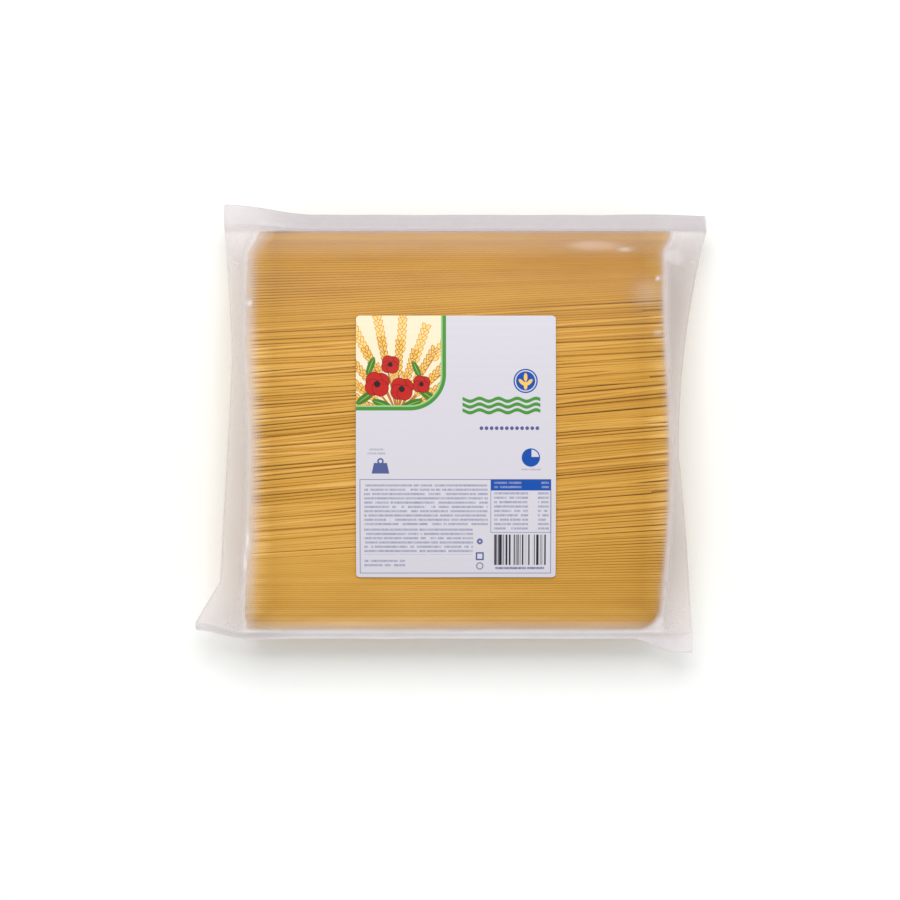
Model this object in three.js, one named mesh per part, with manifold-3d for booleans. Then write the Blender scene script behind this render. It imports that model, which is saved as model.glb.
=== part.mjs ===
// A clear film packet of long spaghetti, 5 kg, lying on its back with its label up.
// Millimetres. X runs along the strands, Y towards the packet's top edge and Z up.
// The film fits so closely that packet and contents are one solid: strands in relief, with the film
// standing out round them in two sealed fins, two folded sides and four corner ears.
import * as THREE from "three";
import { mergeVertices } from "three/addons/utils/BufferGeometryUtils.js";
import Module from "manifold-3d";

// Driving dimensions of the spaghetti
const strandLength = 255;
const strandDiameter = 1.8;
const bundleWidth = 249;
const bundleCentre = { x: 5, y: 0.2 };
const reliefReach = 0.985; // share of the bundle's half width that carries strands in relief
const reliefDepth = 3.5; // of the strands' crowns above the film's solid round them
const greatestLean = 5.5; // degrees between a strand and the X axis
const upperLean = 0.55; // share of that lean which is left in the upper half of the bundle
const leanZone = { bottom: [-92, -55], half: [10, 60], top: [75, 112] }; // where along Y it changes
const looseZone = { bottom: [-100, -62], top: [62, 95] };
const unevenness = { bunch: 0.45, strand: 0.3, sunk: 0.7, sunkShare: 0.12 };
const bunchLengths = { short: 1.9, long: 5.3 };

// How far the bundle's layers have slid along X: a sway in the middle, and more at both edges
const slid = { sway: 1.6, swayY: -20, swayLength: 32, bottom: -1.2, top: 5 };
const slidZone = { bottom: [-115, -60], top: [108, 122] };

// Driving dimensions of the film
const seamHeight = 35;
const crownHeight = 73;
const upperRound = { power: 3, root: 0.42 }; // the section above the seam, from a dome to a box
const lowerRound = { power: 7, root: 0.5, fullness: 1.1 }; // and below it
const sideBulge = 0.72; // the folded sides, from 1 for a straight slope to 0 for a box
const filmHalf = 0.4; // half the thickness of the closed film
const finLength = 13;
const finArc = 6; // length of fin that bends, next to the packet
const coverEdge = 2.7; // from the fin to where the film gives way to strands in relief
const tuckedUnder = 2; // from the strands' ends to where the film's sides begin
const earDroop = 5;
const earSpan = { from: 85, to: 148 }; // distance from the Y axis over which a fin turns into an ear
const earStart = 60; // distance from the X axis at which the ears begin to be drawn out and to droop
const droopDepth = { none: 2, full: 12 }; // depth of film below the seam over which the droop ends
const topFin = {
  rootY: 125.2,
  outward: 1,
  bend: { left: 5, middle: 45, right: 45 },
  pull: { left: 4, right: 0 },
};
const bottomFin = {
  rootY: -126,
  outward: -1,
  bend: { left: 80, middle: 88, right: 8 },
  pull: { left: 6, right: 0 },
};
const leftSide = {
  waist: { x: -137, y: 45 },
  top: { flare: 5.5, power: 1.3 },
  bottom: { flare: 8, power: 1 },
  ear: { flare: 15.5, startY: -98 },
};
const rightSide = {
  waist: { x: 142, y: -16 },
  top: { flare: 18, power: 2.1 },
  bottom: { flare: 9, power: 0.8 },
};

// Driving dimensions of the label
const labelSize = { x: 122, y: 160, thickness: 0.4, corner: 3 };
const labelCentre = { x: 2.7, y: -9.8 };
const labelGap = 0.35;

const degrees = Math.PI / 180;
const clamp = (value, low, high) => Math.min(Math.max(value, low), high);
const mix = (from, to, part) => from + (to - from) * part;
const share = (from, to, value) => clamp((value - from) / (to - from), 0, 1);
const smooth = (from, to, value) => THREE.MathUtils.smoothstep(value, from, to);

function seededRandom(seed) {
  let state = seed;
  return () => {
    state = (state * 1664525 + 1013904223) % 4294967296;
    return state / 4294967296;
  };
}

// A closed solid between two grids of points of the same size: a sheet, a pillow or a ridged block.
function sheetSolid(top, bottom) {
  const rows = top.length;
  const columns = top[0].length;
  const positions = [...top.flat(), ...bottom.flat()].flatMap((point) => point.toArray());
  const upper = (row, column) => row * columns + column;
  const lower = (row, column) => rows * columns + upper(row, column);
  const faces = [];
  const quad = (a, b, c, d) => faces.push(a, b, c, a, c, d);
  for (let r = 0; r + 1 < rows; r++) {
    for (let c = 0; c + 1 < columns; c++) {
      quad(upper(r, c), upper(r, c + 1), upper(r + 1, c + 1), upper(r + 1, c));
      quad(lower(r, c), lower(r + 1, c), lower(r + 1, c + 1), lower(r, c + 1));
    }
    const last = columns - 1;
    quad(upper(r, 0), upper(r + 1, 0), lower(r + 1, 0), lower(r, 0));
    quad(upper(r, last), lower(r, last), lower(r + 1, last), upper(r + 1, last));
  }
  for (let c = 0; c + 1 < columns; c++) {
    const last = rows - 1;
    quad(upper(0, c), lower(0, c), lower(0, c + 1), upper(0, c + 1));
    quad(upper(last, c), upper(last, c + 1), lower(last, c + 1), lower(last, c));
  }
  return new THREE.BufferGeometry()
    .setAttribute("position", new THREE.Float32BufferAttribute(positions, 3))
    .setIndex(faces);
}

// A rounded profile: 1 in the middle and 0 at the edge, for a share from 0 to 1 of the way between them.
const rounded = ({ power, root }, part) => Math.pow(1 - Math.pow(part, power), root);
const domeRise = (part) => (crownHeight - seamHeight) * rounded(upperRound, part);

// The strands' crowns above the seam's level.
const bundleRise = (y) => domeRise(clamp(Math.abs(y - bundleCentre.y) / (bundleWidth / 2), 0, 1));

// A share that is 1 between the two ends of a zone along Y, and 0 outside them.
const within = (zone, y) => smooth(...zone.bottom, y) * (1 - smooth(...zone.top, y));

// How far a strand leans from the X axis. Strands lie straight along both edges of the bundle.
function strandLean(y) {
  const kept = mix(1, upperLean, smooth(...leanZone.half, y));
  return greatestLean * degrees * within(leanZone, y) * kept;
}

// The bundle's layers have slid a little along X against each other.
function bundleSlide(y) {
  const sway = slid.sway * Math.cos((y - slid.swayY) / slid.swayLength);
  const bottom = slid.bottom * (1 - smooth(...slidZone.bottom, y));
  const top = slid.top * smooth(...slidZone.top, y);
  return sway + bottom + top;
}

// Where the strands are loose they lie unevenly. They are tidy along both edges of the bundle.
const looseness = (y) => within(looseZone, y);

// The film's section runs from the root of one fin to the root of the other.
const filmHalfWidth = (topFin.rootY - bottomFin.rootY) / 2;
const filmMiddleY = (topFin.rootY + bottomFin.rootY) / 2;
const acrossFilm = (y) => clamp(Math.abs(y - filmMiddleY) / filmHalfWidth, 0, 1);

// The film's height above the seam: over the strands at both edges, and in between below their crowns.
function filmRise(y) {
  const covered = filmHalfWidth * (1 - acrossFilm(y)) < coverEdge + filmHalf;
  return covered ? domeRise(acrossFilm(y)) + filmHalf : bundleRise(y) - reliefDepth;
}

// The film's depth below the seam, down to the flat on which the packet lies.
function filmDrop(y) {
  const depth = lowerRound.fullness * seamHeight * rounded(lowerRound, acrossFilm(y));
  return Math.min(depth + filmHalf, seamHeight);
}

// The packet's outline at its two sides: a waist that flares to the ears.
const flared = ({ flare, power }, from, to, y) => flare * Math.pow(share(from, to, y), power);

function leftEdge(y) {
  const { waist, top, bottom, ear } = leftSide;
  const above = flared(top, waist.y, topFin.rootY, y);
  const below = flared(bottom, waist.y, ear.startY, y);
  return waist.x - above - below - ear.flare * share(ear.startY, bottomFin.rootY, y);
}

function rightEdge(y) {
  const { waist, top, bottom } = rightSide;
  return waist.x + flared(top, waist.y, topFin.rootY, y) + flared(bottom, waist.y, bottomFin.rootY, y);
}

// Places across the packet, from its left outline over the strands to its right outline: how much of the
// film's full height each has, and how free it is of the strands, from 0 over them to 1 at the outline.
function columnsAt(y) {
  const start = bundleCentre.x - strandLength / 2 + bundleSlide(y) + tuckedUnder;
  const end = start + strandLength - 2 * tuckedUnder;
  const side = [0, 0.12, 0.3, 0.55, 0.8];
  const middle = [0, 0.2, 0.4, 0.6, 0.8, 1];
  const slope = (edge, top) =>
    side.map((s) => ({ x: mix(edge, top, s), rise: Math.pow(s, sideBulge), free: 1 - s }));
  return [
    ...slope(leftEdge(y), start),
    ...middle.map((s) => ({ x: mix(start, end, s), rise: 1, free: 0 })),
    ...slope(rightEdge(y), end).toReversed(),
  ];
}

// A share that is 0 over the packet's middle and 1 at an ear.
const earShare = (x) => smooth(earSpan.from, earSpan.to, Math.abs(x));

// The ears are drawn along Y. Outwards, the film over the strands goes with them, and inwards it can't.
function earPull(fin, x, y, free) {
  const pull = x < 0 ? fin.pull.left : fin.pull.right;
  const held = pull * fin.outward > 0 ? earShare(x) : smooth(0, 1, free);
  return pull * held * smooth(earStart, Math.abs(fin.rootY), fin.outward * y);
}

const pulledY = (x, y, free) => y + earPull(topFin, x, y, free) + earPull(bottomFin, x, y, free);

const seamAt = (y, free) => seamHeight - earDroop * free * smooth(earStart, topFin.rootY, Math.abs(y));

// One row of film over and under the strands, at a distance y along the packet.
function bodyRow(y) {
  const top = [];
  const bottom = [];
  for (const { x, rise, free } of columnsAt(y)) {
    const lift = Math.max(filmRise(y) * rise, filmHalf);
    const drop = Math.max(filmDrop(y) * rise, filmHalf);
    const held = rise * smooth(droopDepth.none, droopDepth.full, filmDrop(y));
    const level = mix(seamAt(y, free), seamHeight, held);
    const across = pulledY(x, y, free);
    top.push(new THREE.Vector3(x, across, level + lift));
    bottom.push(new THREE.Vector3(x, across, Math.max(level - drop, 0)));
  }
  return { top, bottom };
}

// One row of a sealed fin, at a distance along it from its root. It bends down more or less across X.
function finRow(fin, distance) {
  const top = [];
  const bottom = [];
  for (const { x, free } of columnsAt(fin.rootY)) {
    const earBend = x < 0 ? fin.bend.left : fin.bend.right;
    const bend = mix(fin.bend.middle, earBend, earShare(x)) * degrees;
    const turned = bend * clamp(distance / finArc, 0, 1);
    const radius = finArc / bend;
    const straight = Math.max(distance - finArc, 0);
    const out = radius * Math.sin(turned) + straight * Math.cos(bend);
    const down = radius * (1 - Math.cos(turned)) + straight * Math.sin(bend);
    const y = pulledY(x, fin.rootY, free) + fin.outward * out;
    const z = seamAt(fin.rootY, free) - down;
    const alongY = fin.outward * Math.sin(turned) * filmHalf;
    const alongZ = Math.cos(turned) * filmHalf;
    top.push(new THREE.Vector3(x, y + alongY, z + alongZ));
    bottom.push(new THREE.Vector3(x, y - alongY, z - alongZ));
  }
  return { top, bottom };
}

// The film from the end of one fin, round the contents, to the end of the other.
function filmGeometry() {
  const bodySteps = 30;
  const finStops = [3, 6, 10, finLength];
  const relief = coverEdge + 1.4; // where the strands start to stand out
  const edgeStops = [0, 0.6, 1.5, coverEdge, relief];
  const reliefBottom = bottomFin.rootY + relief;
  const reliefTop = topFin.rootY - relief;
  const rows = [];
  for (const distance of finStops.toReversed()) rows.push(finRow(bottomFin, distance));
  for (const distance of edgeStops) rows.push(bodyRow(bottomFin.rootY + distance));
  for (let step = 1; step < bodySteps; step++) {
    rows.push(bodyRow(mix(reliefBottom, reliefTop, step / bodySteps)));
  }
  for (const distance of edgeStops.toReversed()) rows.push(bodyRow(topFin.rootY - distance));
  for (const distance of finStops) rows.push(finRow(topFin, distance));
  return sheetSolid(
    rows.map((row) => row.top),
    rows.map((row) => row.bottom),
  );
}

// The strands that show: each a ridge of few sides at its true width, between two grooves.
function strandGeometry() {
  const random = seededRandom(20);
  const reach = (bundleWidth / 2) * reliefReach;
  const count = Math.floor((2 * reach) / strandDiameter);
  const ridge = [
    { across: -0.5, drop: 0.8 },
    { across: -0.3, drop: 0.18 },
    { across: 0, drop: 0 },
    { across: 0.3, drop: 0.18 },
  ];
  const stations = [-0.5, 0, 0.5];
  const top = stations.map(() => []);
  const bottom = stations.map(() => []);
  for (let i = count - 1; i >= 0; i--) {
    const home = bundleCentre.y + (i - (count - 1) / 2) * strandDiameter;
    const bunched = Math.sin(home / bunchLengths.short) * Math.sin(home / bunchLengths.long + 1);
    const bunch = unevenness.bunch * bunched;
    const own = unevenness.strand * (2 * random() - 1);
    const sunk = random() < unevenness.sunkShare ? unevenness.sunk : 0;
    const offset = looseness(home) * (bunch + own - sunk);
    stations.forEach((station, s) => {
      const along = station * strandLength;
      for (const { across, drop } of ridge.toReversed()) {
        const place = home + across * strandDiameter;
        const y = place + Math.tan(strandLean(place)) * along;
        const x = bundleCentre.x + along + bundleSlide(y);
        const z = seamHeight + bundleRise(y) + offset - drop;
        top[s].push(new THREE.Vector3(x, y, z));
        bottom[s].push(new THREE.Vector3(x, y, seamHeight));
      }
    });
  }
  return sheetSolid(top, bottom);
}

// The label lies on the crowns of the strands and follows their rounded section.
function labelGeometry() {
  const { corner, thickness } = labelSize;
  const straight = labelSize.y - 2 * corner;
  const steps = 24;
  const cornerStops = [0.3, 0.6, 0.85, 1].map((turn) => corner * Math.sin(turn * 90 * degrees));
  const distances = [
    ...cornerStops.toReversed().map((into) => -into),
    ...Array.from({ length: steps + 1 }, (_, i) => (straight * i) / steps),
    ...cornerStops.map((into) => straight + into),
  ];
  const highest = unevenness.bunch + unevenness.strand;
  const top = [];
  const bottom = [];
  for (const distance of distances) {
    const intoCorner = Math.max(-distance, distance - straight, 0);
    const narrowed = corner - Math.sqrt(corner * corner - intoCorner * intoCorner);
    const halfX = labelSize.x / 2 - narrowed;
    const y = labelCentre.y - straight / 2 + distance;
    const under = seamHeight + bundleRise(y) + highest + labelGap;
    const across = [-1, -0.5, 0, 0.5, 1].map((s) => labelCentre.x + s * halfX);
    top.push(across.map((x) => new THREE.Vector3(x, y, under + thickness)));
    bottom.push(across.map((x) => new THREE.Vector3(x, y, under)));
  }
  return sheetSolid(top, bottom);
}

// Joins closed geometries into one solid and gives it back as a geometry.
function joined(wasm, geometries) {
  const solids = geometries.map((geometry) => {
    const welded = mergeVertices(geometry, 1e-4);
    const vertProperties = welded.getAttribute("position").array;
    const triVerts = new Uint32Array(welded.index.array);
    return new wasm.Manifold(new wasm.Mesh({ numProp: 3, vertProperties, triVerts }));
  });
  const mesh = solids.reduce((whole, solid) => whole.add(solid)).getMesh();
  return new THREE.BufferGeometry()
    .setAttribute("position", new THREE.Float32BufferAttribute(mesh.vertProperties, mesh.numProp))
    .setIndex(new THREE.BufferAttribute(mesh.triVerts, 1));
}

function bagMesh(wasm) {
  const material = new THREE.MeshStandardMaterial({ color: "#cfa04a", roughness: 0.35, metalness: 0 });
  const mesh = new THREE.Mesh(joined(wasm, [filmGeometry(), strandGeometry()]), material);
  mesh.name = "bag";
  return mesh;
}

function labelMesh() {
  const material = new THREE.MeshStandardMaterial({ color: "#e4e2ea", roughness: 0.5, metalness: 0 });
  const mesh = new THREE.Mesh(labelGeometry(), material);
  mesh.name = "label";
  return mesh;
}

const wasm = await Module();
wasm.setup();

const packet = new THREE.Group();
packet.add(bagMesh(wasm), labelMesh());

// The origin lies on the surface under the packet, below the middle of its box.
const middle = new THREE.Box3().setFromObject(packet).getCenter(new THREE.Vector3());
for (const mesh of packet.children) mesh.geometry.translate(-middle.x, -middle.y, 0);

export default packet;
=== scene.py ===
# A clear film packet of long spaghetti with a printed label, lying on a pale floor, seen from above.
# Lengths in the dictionaries are millimetres in the packet's own layout, with X along the strands and
# Y towards the packet's top edge. Only the places and sizes of the lights are in metres.
import math
import random

import bpy
import numpy as np
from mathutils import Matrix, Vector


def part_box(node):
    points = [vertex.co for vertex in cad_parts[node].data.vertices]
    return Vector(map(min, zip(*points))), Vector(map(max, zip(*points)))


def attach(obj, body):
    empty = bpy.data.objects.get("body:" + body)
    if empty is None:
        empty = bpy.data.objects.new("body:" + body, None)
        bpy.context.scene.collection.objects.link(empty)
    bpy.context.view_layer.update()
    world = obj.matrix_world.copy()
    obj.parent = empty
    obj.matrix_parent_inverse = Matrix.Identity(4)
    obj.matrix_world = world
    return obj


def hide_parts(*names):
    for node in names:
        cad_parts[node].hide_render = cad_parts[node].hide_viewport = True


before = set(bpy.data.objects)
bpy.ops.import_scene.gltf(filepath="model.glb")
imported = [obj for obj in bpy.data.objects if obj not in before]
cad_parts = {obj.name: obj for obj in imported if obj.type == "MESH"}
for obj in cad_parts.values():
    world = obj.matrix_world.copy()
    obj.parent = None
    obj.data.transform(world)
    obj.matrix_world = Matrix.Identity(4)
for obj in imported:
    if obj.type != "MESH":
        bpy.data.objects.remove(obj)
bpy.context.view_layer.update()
mm = 0.001

packet = {
    "seamHeight": 35,
    "crownHeight": 73,
    "bundleMiddle": (4.2, 0.2),
    "bundleWidth": 249,
    "strandLength": 256.6,
    "labelMiddle": (2.7, -9.8),
}

# Where the layout's zero lies in the frame, in metres, found by the label's place in both.
labelLow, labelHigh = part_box("label")
layoutShift = np.array([
    (labelLow[0] + labelHigh[0]) / 2 - packet["labelMiddle"][0] * mm,
    (labelLow[1] + labelHigh[1]) / 2 - packet["labelMiddle"][1] * mm,
    0,
])


def clip01(value):
    return np.clip(value, 0, 1)


def share(low, high, value):
    return clip01((value - low) / (high - low))


def smooth(low, high, value):
    part = share(low, high, value)
    return part * part * (3 - 2 * part)


def mix(low, high, part):
    return low + (high - low) * part


def drift(values, seed, wavelength, count=5):
    # a smooth random line between about -1 and 1
    rng = random.Random(seed)
    total = np.zeros_like(np.asarray(values, dtype=float))
    for _ in range(count):
        size = wavelength * rng.uniform(0.6, 1.7)
        total += np.sin(2 * math.pi * values / size + rng.uniform(0, 2 * math.pi))
    return total / math.sqrt(count)


def ripple(x, y, seed, size, count=9):
    # a smooth random surface between about -1 and 1
    rng = random.Random(seed)
    total = np.zeros_like(np.asarray(x, dtype=float))
    for _ in range(count):
        turn = rng.uniform(0, math.pi)
        length = size * rng.uniform(0.6, 1.8)
        along = x * math.cos(turn) + y * math.sin(turn)
        total += np.sin(2 * math.pi * along / length + rng.uniform(0, 2 * math.pi))
    return total / math.sqrt(count)


def domeRise(part):
    tall = packet["crownHeight"] - packet["seamHeight"]
    return tall * (1 - clip01(part) ** 3) ** 0.42


def roundedDrop(part, room):
    # how far the rounded lower half reaches down from the seam, with some room left above the floor
    rounded = 1.1 * packet["seamHeight"] * np.sqrt(1 - clip01(part) ** 7)
    return np.minimum(rounded, packet["seamHeight"] - room)


def bundlePart(y):
    # 0 in the middle of the bundle and 1 at its edges
    return np.abs(y - packet["bundleMiddle"][1]) / (packet["bundleWidth"] / 2)


def bundleRise(y):
    return domeRise(bundlePart(y))


def bundleDrop(y):
    return roundedDrop(bundlePart(y), 0.7)


def bundleSlide(y):
    # how far the layers have slid along X: a sway in the middle, and more at both edges
    return 1.6 * np.cos((y + 20) / 32) - 1.2 * smooth(60, 115, -y) + 5 * smooth(108, 122, y)


def strandEnds(y):
    start = packet["bundleMiddle"][0] - packet["strandLength"] / 2 + bundleSlide(y)
    return start, start + packet["strandLength"]


def deselectAll():
    if bpy.context.object and bpy.context.object.mode != "OBJECT":
        bpy.ops.object.mode_set(mode="OBJECT")
    bpy.ops.object.select_all(action="DESELECT")


def applyModifier(piece, kind, **settings):
    bpy.context.view_layer.objects.active = piece
    modifier = piece.modifiers.new(kind.lower(), kind)
    for name, value in settings.items():
        setattr(modifier, name, value)
    bpy.ops.object.modifier_apply(modifier=modifier.name)


def gridSheet(name, columns, rows):
    # a flat grid from -1 to 1 with a second one under it, closed all round
    deselectAll()
    bpy.ops.mesh.primitive_grid_add(x_subdivisions=columns, y_subdivisions=rows, size=2)
    piece = bpy.context.object
    piece.name = name
    piece.data.name = name
    applyModifier(piece, "SOLIDIFY", thickness=0.2, offset=0)
    return piece


def shadeByAngle(piece):
    # smooth shading that keeps the sheet's outer edges sharp
    deselectAll()
    piece.select_set(True)
    bpy.context.view_layer.objects.active = piece
    bpy.ops.object.shade_smooth_by_angle(angle=math.radians(40))


def readPoints(piece):
    points = np.empty(len(piece.data.vertices) * 3)
    piece.data.vertices.foreach_get("co", points)
    return points.reshape(-1, 3)


def placePoints(piece, points):
    # millimetres of the layout to metres of the frame
    placed = points * mm + layoutShift
    piece.data.vertices.foreach_set("co", placed.ravel())
    piece.data.update()


def addAttribute(piece, name, values):
    attribute = piece.data.attributes.new(name, "FLOAT", "POINT")
    attribute.data.foreach_set("value", np.asarray(values, dtype=np.float32))


# Shader maths


class Wire:  # one output of a node, which Python sums work on
    def __init__(self, bench, socket):
        self.bench = bench
        self.socket = socket

    def combine(self, operation, *others, clamp=False):
        settings = {"operation": operation, "use_clamp": clamp}
        inputs = dict(enumerate((self, *others)))
        return self.bench.add("ShaderNodeMath", settings, inputs)

    def __add__(self, other):
        return self.combine("ADD", other)

    def __radd__(self, other):
        return self.combine("ADD", other)

    def __sub__(self, other):
        return self.combine("SUBTRACT", other)

    def __rsub__(self, other):
        return (self * -1).combine("ADD", other)

    def __mul__(self, other):
        return self.combine("MULTIPLY", other)

    def __rmul__(self, other):
        return self.combine("MULTIPLY", other)

    def __truediv__(self, other):
        return self.combine("DIVIDE", other)

    def __pow__(self, other):
        return self.combine("POWER", other)

    def __abs__(self):
        return self.combine("ABSOLUTE")

    def clamped(self):
        return self.combine("ADD", 0, clamp=True)


class Bench:  # a material and the means to add nodes to it
    def __init__(self, name):
        self.material = bpy.data.materials.new(name)
        self.material.use_nodes = True
        self.nodes = self.material.node_tree.nodes
        self.links = self.material.node_tree.links
        self.nodes.clear()
        self.output = self.nodes.new("ShaderNodeOutputMaterial")

    def add(self, kind, settings=None, inputs=None, output=0):
        node = self.nodes.new(kind)
        for name, value in (settings or {}).items():
            if name == "stops":
                while len(node.color_ramp.elements) < len(value):
                    node.color_ramp.elements.new(0.5)
                for element, (position, colour) in zip(node.color_ramp.elements, value):
                    element.position = position
                    element.color = colour
            else:
                setattr(node, name, value)
        for name, value in (inputs or {}).items():
            if isinstance(value, Wire):
                self.links.new(value.socket, node.inputs[name])
            else:
                node.inputs[name].default_value = value
        return Wire(self, node.outputs[output])

    def attribute(self, name):
        return self.add("ShaderNodeAttribute", {"attribute_name": name}, None, "Fac")

    def position(self):
        # Object coordinates in millimetres
        place = self.add("ShaderNodeTexCoord", output="Object")
        return self.add("ShaderNodeMapping", None, {"Vector": place, "Scale": (1 / mm,) * 3})

    def split(self, vector):
        node = self.nodes.new("ShaderNodeSeparateXYZ")
        self.links.new(vector.socket, node.inputs[0])
        return [Wire(self, node.outputs[axis]) for axis in range(3)]

    def join(self, x, y, z=0.0):
        return self.add("ShaderNodeCombineXYZ", None, {"X": x, "Y": y, "Z": z})

    def blend(self, factor, first, second):
        inputs = {"Factor": factor, 6: first, 7: second}
        return self.add("ShaderNodeMix", {"data_type": "RGBA"}, inputs, 2)

    def noise(self, vector, scale, detail=2.0, roughness=0.5):
        inputs = {"Vector": vector, "Scale": scale, "Detail": detail, "Roughness": roughness}
        return self.add("ShaderNodeTexNoise", None, inputs)

    def bump(self, height, strength, distance):
        inputs = {"Height": height, "Strength": strength, "Distance": distance}
        return self.add("ShaderNodeBump", None, inputs)

    def plastic(self, **settings):
        # a Principled shader, with its sockets' names written as one word
        names = {"baseColor": "Base Color", "specular": "Specular IOR Level"}
        inputs = {names.get(name, name.capitalize()): value for name, value in settings.items()}
        return self.add("ShaderNodeBsdfPrincipled", None, inputs)

    def layered(self, factor, under, over):
        return self.add("ShaderNodeMixShader", None, {"Fac": factor, 1: under, 2: over})

    def surface(self, shader):
        self.links.new(shader.socket, self.output.inputs["Surface"])
        return self.material


def colour(red, green, blue):
    # a screen colour of 0 to 255 in the linear values that shaders take
    def linear(value):
        value /= 255
        return value / 12.92 if value <= 0.04045 else ((value + 0.055) / 1.055) ** 2.4

    return (linear(red), linear(green), linear(blue), 1.0)


# Camera, lights and floor

view = {
    "middle": (-0.9, -11.9),
    "distance": 1560,  # from the top of the packet
    "widthSeen": 549,  # at the top of the packet
}

light = {
    "world": 0.65,
    "worldColour": (0.995, 0.998, 1.0, 1.0),
    "keyPlace": (-0.02, 0.72, 1.32),
    "keySize": (0.95, 0.75),
    "keyPower": 14,
    "fillPlace": (0.2, -1.5, 0.42),
    "fillSize": (1.2, 0.6),
    "fillPower": 4.2,
    "floor": colour(248, 250, 248),
}


def makeCamera():
    deselectAll()
    high = (view["distance"] + packet["crownHeight"]) * mm
    place = (view["middle"][0] * mm + layoutShift[0], view["middle"][1] * mm + layoutShift[1], high)
    bpy.ops.object.camera_add(location=place, rotation=(0, 0, 0))
    camera = bpy.context.object
    camera.name = "camera"
    camera.data.sensor_width = 36
    camera.data.lens = 36 * view["distance"] / view["widthSeen"]
    camera.data.clip_start = 0.05
    camera.data.clip_end = 50
    bpy.context.scene.camera = camera


def makeLight(name, place, size, power):
    deselectAll()
    bpy.ops.object.light_add(type="AREA", location=place)
    lamp = bpy.context.object
    lamp.name = name
    lamp.data.shape = "RECTANGLE"
    lamp.data.size, lamp.data.size_y = size
    lamp.data.energy = power
    aim = -lamp.location
    lamp.rotation_euler = aim.to_track_quat("-Z", "Y").to_euler()


def makeWorld():
    world = bpy.data.worlds.new("studio")
    bpy.context.scene.world = world
    world.use_nodes = True
    background = world.node_tree.nodes["Background"]
    background.inputs["Color"].default_value = light["worldColour"]
    background.inputs["Strength"].default_value = light["world"]


def makeFloor():
    deselectAll()
    bpy.ops.mesh.primitive_plane_add(size=8)
    floor = bpy.context.object
    floor.name = "floor"
    bench = Bench("paleFloor")
    inputs = {"Base Color": light["floor"], "Roughness": 0.9, "Specular IOR Level": 0.1}
    floor.data.materials.append(bench.surface(bench.add("ShaderNodeBsdfPrincipled", None, inputs)))


bpy.context.scene.view_settings.view_transform = "Standard"
makeCamera()
makeWorld()
makeLight("keyLight", light["keyPlace"], light["keySize"], light["keyPower"])
makeLight("fillLight", light["fillPlace"], light["fillSize"], light["fillPower"])
makeFloor()
print("camera, lights and floor are in place")


# Spaghetti

spaghetti = {
    "diameter": 1.78,
    "tight": 0.81,  # share of their thickness by which strands are apart, along the bundle's edges
    "slack": 0.87,  # and in its middle
    "looseBetween": ((-86, -44), (45, 92)),  # Y over which the looseness sets in, and fades
    "unevenness": (0.985, 1.015),  # times the distance from one strand to the next
    "layerDepth": 1.4,
    "followFrom": 6,  # height above the seams from which strands lean and follow the packet's top
    "greatestLean": 5.5,  # degrees
    "leanBetween": ((-106, -42), (75, 112)),  # Y over which the lean sets in, and fades
    "leanLess": (0.45, 10, 60),  # share of the lean that is lost, and the Y over which it is
    "ownLean": 0.12,  # degrees, of one strand against its group
    "lengthSpread": 0.3,
    "slide": 0.22,  # how far strands lie shifted along their length
    "slip": 1.6,  # how far at most those lie that have slipped
    "slipShare": 0.03,
    "groupSize": (2, 7),
    "gap": (-0.15, 0.25),  # more room between one group and the next
    "sink": (0, 0.4),  # how much deeper than the outline a group lies
    "dip": (0.2, 0.95),  # how much deeper still the first strand of a group lies
    "groupLean": 0.4,  # degrees, of one group against the next
    "wave": 0.45,  # how far at most a loose strand sways
    "strays": 30,
    "strayReach": 72,  # how far from the middle along Y they lie at most
    "strayDepth": (0.5, 0.9),
    "strayLean": 1.3,  # degrees
    "strayTone": (0.4, 0.8),
    "groupTone": 0.06,  # how much groups differ in tone, from 0 for dark to 1
    "ownTone": 0.07,  # and the strands of one group
    "insidePitch": 1.03,  # times their thickness, from one inner strand to the next
    "insideRows": 0.9,  # times that, from one row of them to the next
    "insideSpread": 0.12,
    "shortShare": 0.03,  # of the strands on top that end early
    "shortBy": (7, 16),
    "cornerCut": 8,  # how far the lowest strands stay back from the right corner
    "paintedLightFrom": (113, -108),  # painted light on their ends and lowest strands: distance from the middle, and Y
    "paintedShadeTop": 0.34,  # painted shade: tone that is lost towards the packet's top edge
    "paintedShadeRight": 0.16,  # painted shade: tone that is lost towards the right
    "seed": 7,
}


def fadedAt(ends, y):
    # 1 in the middle, and 0 beyond the two stretches of Y in ends
    setsIn, fades = ends
    return smooth(*setsIn, y) * (1 - smooth(*fades, y))


def strandLean(y):
    lean = math.radians(spaghetti["greatestLean"]) * fadedAt(spaghetti["leanBetween"], y)
    lost, start, end = spaghetti["leanLess"]
    return lean * (1 - lost * smooth(start, end, y))


def looseness(y):
    return fadedAt(spaghetti["looseBetween"], y)


def walkRound(ring):
    # the way walked to each point of a closed ring, and the ring with its first point again at the end
    closed = np.concatenate([ring, ring[:1]])
    steps = np.linalg.norm(np.diff(closed, axis=0), axis=1)
    return np.concatenate([[0], np.cumsum(steps)]), closed


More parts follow.
